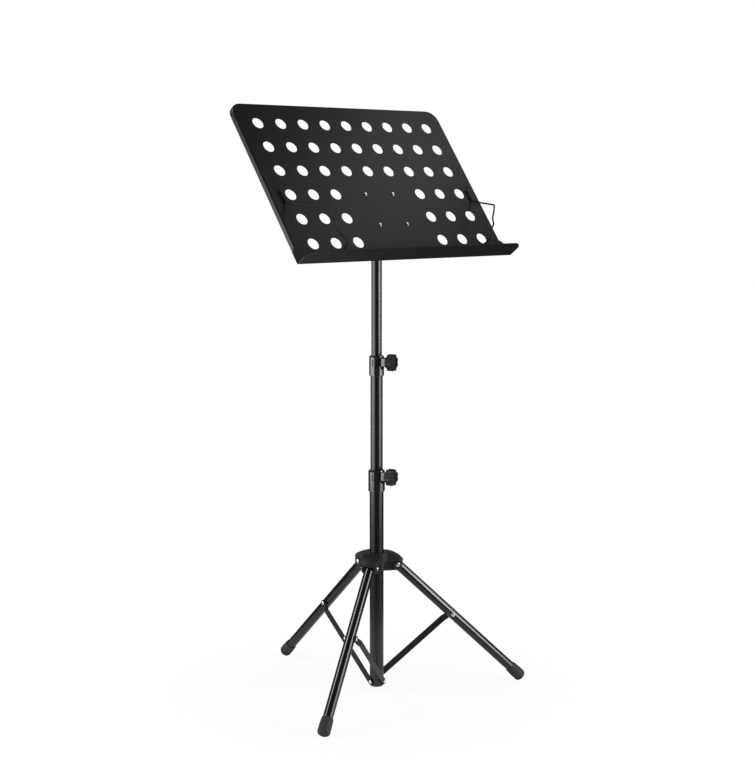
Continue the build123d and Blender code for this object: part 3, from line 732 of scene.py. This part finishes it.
def floor_paint(stage):
    """Pale matt floor that turns to white paper away from the soft shadow under the stand."""
    material, tree, shader, place = new_material("floor_paint")
    grain = noise(tree, place, grains=30.0, detail=2.0)
    tint(tree, shader, grain, stage.floor_colour, dark=0.99, light=1.01)
    shader.inputs["Roughness"].default_value = 0.9
    shader.inputs["Specular IOR Level"].default_value = 0.1
    paper = tree.nodes.new("ShaderNodeEmission")
    paper.inputs["Strength"].default_value = 1.0
    away = tree.nodes.new("ShaderNodeVectorMath")
    away.operation = "LENGTH"
    tree.links.new(place, away.inputs[0])
    start, end = (share * stage.floor_radius for share in FLOOR_FADE)
    fade = spread(tree, away.outputs["Value"], stage.paper_share, 1.0, start, end)
    seen = combine(tree, "MULTIPLY", rays(tree, "Is Camera Ray"), fade)
    reflected = spread(tree, mirrored(tree), 0.0, stage.floor_mirrored, 0.0, 1.0)
    white = combine(tree, "MAXIMUM", seen, reflected)
    mix_to_output(tree, white, shader, paper, "Material Output")
    return material


def soft_box(name, aim, azimuth, elevation, size, power, distance=LAMP_DISTANCE):
    """Area lamp in a direction, given in degrees, from the point that it is turned to."""
    yaw, rise = math.radians(azimuth), math.radians(elevation)
    away = Vector((math.cos(yaw) * math.cos(rise), math.sin(yaw) * math.cos(rise), math.sin(rise)))
    bpy.ops.object.light_add(type="AREA", location=aim + away * distance)
    lamp = bpy.context.object
    lamp.name = name
    lamp.rotation_euler = away.to_track_quat("Z", "Y").to_euler()
    lamp.data.shape = "RECTANGLE"
    lamp.data.size, lamp.data.size_y = size
    lamp.data.energy = power


def studio_lamps(stage):
    """Boxes that draw the lines along the mast and the legs, and a small one over the desk."""
    left, right = LEFT_BOX_SHARE * stage.box_power, RIGHT_BOX_SHARE * stage.box_power
    soft_box("left_box", MAST_AIM, azimuth=157.0, elevation=0.0, size=(3.0, 1.0), power=left)
    soft_box("right_box", MAST_AIM, azimuth=300.0, elevation=0.0, size=(1.9, 1.0), power=right)
    leg, right_leg = stage.leg_box_power, RIGHT_LEG_BOX_SHARE * stage.leg_box_power
    soft_box("left_leg_box", TRIPOD_AIM, azimuth=134.0, elevation=50.0, size=(0.7, 0.8), power=leg)
    soft_box("front_leg_box", TRIPOD_AIM, azimuth=309.0, elevation=30.0, size=(0.8, 0.7), power=leg)
    soft_box("right_leg_box", TRIPOD_AIM, azimuth=287.0, elevation=14.0, size=(0.6, 0.5), power=right_leg)
    soft_box(
        "desk_box", DESK_AIM, azimuth=342.0, elevation=44.5, size=(0.35, 0.35),
        power=stage.desk_box_power, distance=DESK_LAMP_DISTANCE,
    )


class STAND_OT_stage(bpy.types.Operator):
    """Floor, soft light and the camera"""

    bl_idname = "stand.stage"
    bl_label = "Stage"

    def execute(self, context):
        stage = context.scene.stand_stage
        deselect()
        bpy.ops.mesh.primitive_circle_add(vertices=FLOOR_SIDES, radius=stage.floor_radius, fill_type="NGON")
        floor = context.object
        floor.name = "floor"
        floor.data.materials.append(floor_paint(stage))
        studio_world(stage)
        studio_lamps(stage)

        yaw, rise = stage.camera_bearing, stage.camera_elevation
        back = Vector((-math.sin(yaw) * math.cos(rise), -math.cos(yaw) * math.cos(rise), math.sin(rise)))
        right = Vector((math.cos(yaw), -math.sin(yaw), 0.0))
        target = Vector((0.0, 0.0, stage.camera_target_height)) + right * stage.camera_side_step
        bpy.ops.object.camera_add(location=target + back * stage.camera_distance)
        camera = context.object
        camera.name = "camera"
        camera.rotation_euler = back.to_track_quat("Z", "Y").to_euler()
        camera.data.sensor_width = SENSOR_WIDTH
        camera.data.lens = stage.camera_lens
        context.scene.camera = camera
        context.scene.view_settings.view_transform = "Standard"
        return {"FINISHED"}


class STAND_PT_panel(bpy.types.Panel):
    """Music stand finishes, fittings and stage"""

    bl_idname = "STAND_PT_panel"
    bl_label = "Music Stand"
    bl_space_type = "VIEW_3D"
    bl_region_type = "UI"
    bl_category = "Music Stand"

    def draw(self, context):
        scene = context.scene
        for settings in (scene.stand_finish, scene.stand_fitting, scene.stand_stage):
            box = self.layout.box()
            for name in settings.__annotations__:
                box.prop(settings, name)
        for operator in OPERATORS:
            self.layout.operator(operator.bl_idname)


OPERATORS = (
    STAND_OT_coat_desk,
    STAND_OT_enamel_tubes,
    STAND_OT_mould_plastics,
    STAND_OT_rubber_feet,
    STAND_OT_zinc_fasteners,
    STAND_OT_tripod_rivets,
    STAND_OT_desk_rivets,
    STAND_OT_stage,
)
CLASSES = (StandFinishSettings, StandFittingSettings, StandStageSettings, *OPERATORS, STAND_PT_panel)


def register():
    """Add the stand's settings, operators and panel."""
    for cls in CLASSES:
        bpy.utils.register_class(cls)
    bpy.types.Scene.stand_finish = PointerProperty(type=StandFinishSettings)
    bpy.types.Scene.stand_fitting = PointerProperty(type=StandFittingSettings)
    bpy.types.Scene.stand_stage = PointerProperty(type=StandStageSettings)


def unregister():
    """Take them away again."""
    del bpy.types.Scene.stand_stage
    del bpy.types.Scene.stand_fitting
    del bpy.types.Scene.stand_finish
    for cls in reversed(CLASSES):
        bpy.utils.unregister_class(cls)


def main():
    """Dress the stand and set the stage."""
    register()
    bpy.ops.stand.coat_desk()
    bpy.ops.stand.enamel_tubes()
    bpy.ops.stand.mould_plastics()
    bpy.ops.stand.rubber_feet()
    bpy.ops.stand.zinc_fasteners()
    bpy.ops.stand.tripod_rivets()
    bpy.ops.stand.desk_rivets()
    bpy.ops.stand.stage()


if __name__ == "__main__":
    main()
